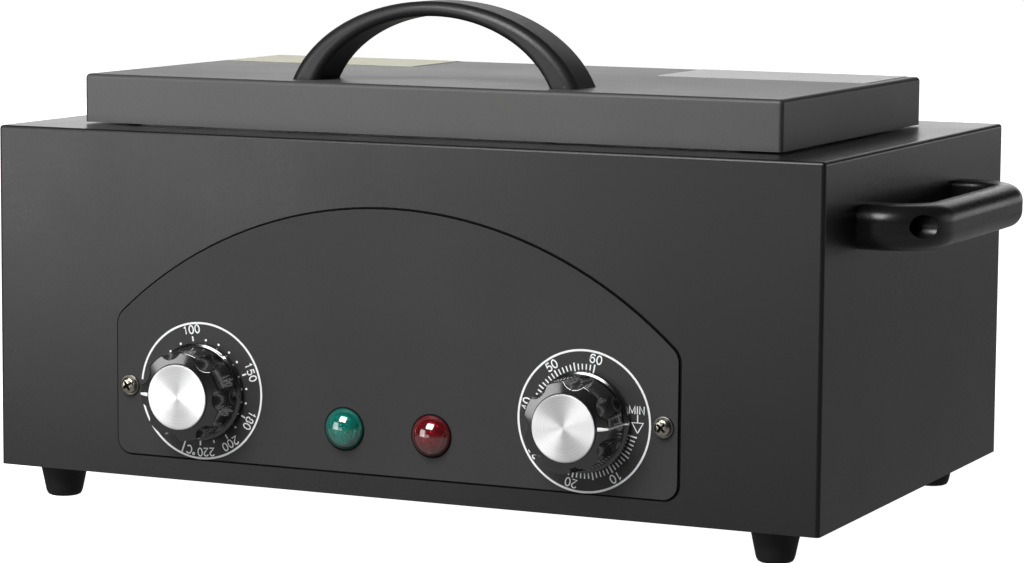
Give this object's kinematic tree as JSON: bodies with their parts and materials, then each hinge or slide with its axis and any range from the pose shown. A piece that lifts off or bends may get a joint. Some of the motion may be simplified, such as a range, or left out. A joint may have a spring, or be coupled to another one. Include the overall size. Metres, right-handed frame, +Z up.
{
  "type": "dry heat sterilizer",
  "caption": "Bench dry heat sterilizer: black sheet-steel cabinet on rubber feet with a hinged handled lid, insulated chamber with tray, temperature dial, minute timer and two lamps.",
  "frame": {"origin": "centre of the bounding box in X and Y, on the plane that the feet stand on", "axes": "+X to the right seen from the front, +Y from the control panel to the back, +Z up"},
  "size_m": [0.434, 0.2518, 0.2143],
  "materials": {
    "black_coat": "satin black powder coat",
    "panel_coat": "satin black printed plate",
    "plated_steel": "zinc plated sheet steel",
    "bright_screw": "nickel plated",
    "zinc_fastener": "zinc plated",
    "steel_shaft": "turned steel",
    "control_case": "moulded phenolic",
    "brass_tab": "tinned brass",
    "green_lens": "moulded transparent green",
    "red_lens": "moulded transparent red",
    "lamp_glass": "clear glass",
    "lamp_plastic": "moulded nylon",
    "stainless": "stainless sheet",
    "heater_sheath": "oxidised steel sheath",
    "sensor_copper": "drawn copper",
    "fibre_wool": "glass fibre blanket",
    "foot_rubber": "moulded rubber",
    "side_grip": "moulded phenolic, satin",
    "lid_grip": "moulded phenolic, grained",
    "inlet_plastic": "moulded nylon",
    "bakelite": "polished phenolic",
    "spun_cap": "spun, circular brushed",
    "label_yellow": "blank self-adhesive label",
    "label_grey": "blank self-adhesive label",
    "lead_brown": "silicone sleeve",
    "lead_white": "glass fibre sleeve",
    "lead_blue": "silicone sleeve",
    "lead_green": "silicone sleeve"
  },
  "bodies": {
    "cabinet": {"outer_case": "black_coat", "bottom_plate": "plated_steel", "control_panel": "panel_coat", "panel_washers": "bright_screw", "panel_screws": "bright_screw", "regulator_body": "control_case", "timer_body": "control_case", "control_terminals": "brass_tab", "countersunk_screws": "zinc_fastener", "green_lamp_lens": "green_lens", "green_lamp_bulb": "lamp_glass", "green_lamp_holder": "lamp_plastic", "red_lamp_lens": "red_lens", "red_lamp_bulb": "lamp_glass", "red_lamp_holder": "lamp_plastic", "lamp_clips": "zinc_fastener", "chamber": "stainless", "instrument_tray": "stainless", "tray_handles": "stainless", "heating_element": "heater_sheath", "heater_terminals": "brass_tab", "heater_clamps": "plated_steel", "insulation_wrap": "fibre_wool", "insulation_pad": "fibre_wool", "heat_shield": "plated_steel", "chamber_nuts": "zinc_fastener", "temperature_sensor": "sensor_copper", "rubber_feet": "foot_rubber", "foot_screws": "zinc_fastener", "bottom_screws": "zinc_fastener", "right_side_handle": "side_grip", "left_side_handle": "side_grip", "side_handle_screws": "zinc_fastener", "cabinet_nuts": "zinc_fastener", "hinge_case_leaves": "plated_steel", "hinge_pins": "steel_shaft", "hinge_case_screws": "zinc_fastener", "power_inlet": "inlet_plastic", "inlet_pins": "brass_tab", "wire_live": "lead_brown", "wire_switched": "lead_brown", "wire_heater": "lead_white", "wire_neutral": "lead_blue", "wire_earth": "lead_green", "earth_stud": "zinc_fastener"},
    "lid": {"lid_cover": "black_coat", "lid_liner": "stainless", "lid_insulation": "fibre_wool", "lid_handle": "lid_grip", "lid_handle_screws": "zinc_fastener", "yellow_label": "label_yellow", "grey_label": "label_grey", "hinge_lid_leaves": "plated_steel", "hinge_lid_screws": "zinc_fastener"},
    "temperature_dial": {"temperature_knob": "bakelite", "temperature_knob_cap": "spun_cap", "temperature_spindle": "steel_shaft"},
    "timer_dial": {"timer_knob": "bakelite", "timer_knob_cap": "spun_cap", "timer_spindle": "steel_shaft"}
  },
  "joints": [
    {"name": "lid_hinge", "type": "hinge", "parent": "cabinet", "child": "lid", "pos_m": [0, 0.09305, 0.162], "axis": [-1, 0, 0], "range_deg": [0, 100]},
    {"name": "temperature_turn", "type": "hinge", "parent": "cabinet", "child": "temperature_dial", "pos_m": [-0.0865, -0.10555, 0.0524], "axis": [0, 1, 0], "range_deg": [0, 271]},
    {"name": "timer_turn", "type": "hinge", "parent": "cabinet", "child": "timer_dial", "pos_m": [0.0865, -0.10555, 0.0524], "axis": [0, 1, 0], "range_deg": [0, 283], "stiffness_Nm_per_rad": 0.004}
  ]
}
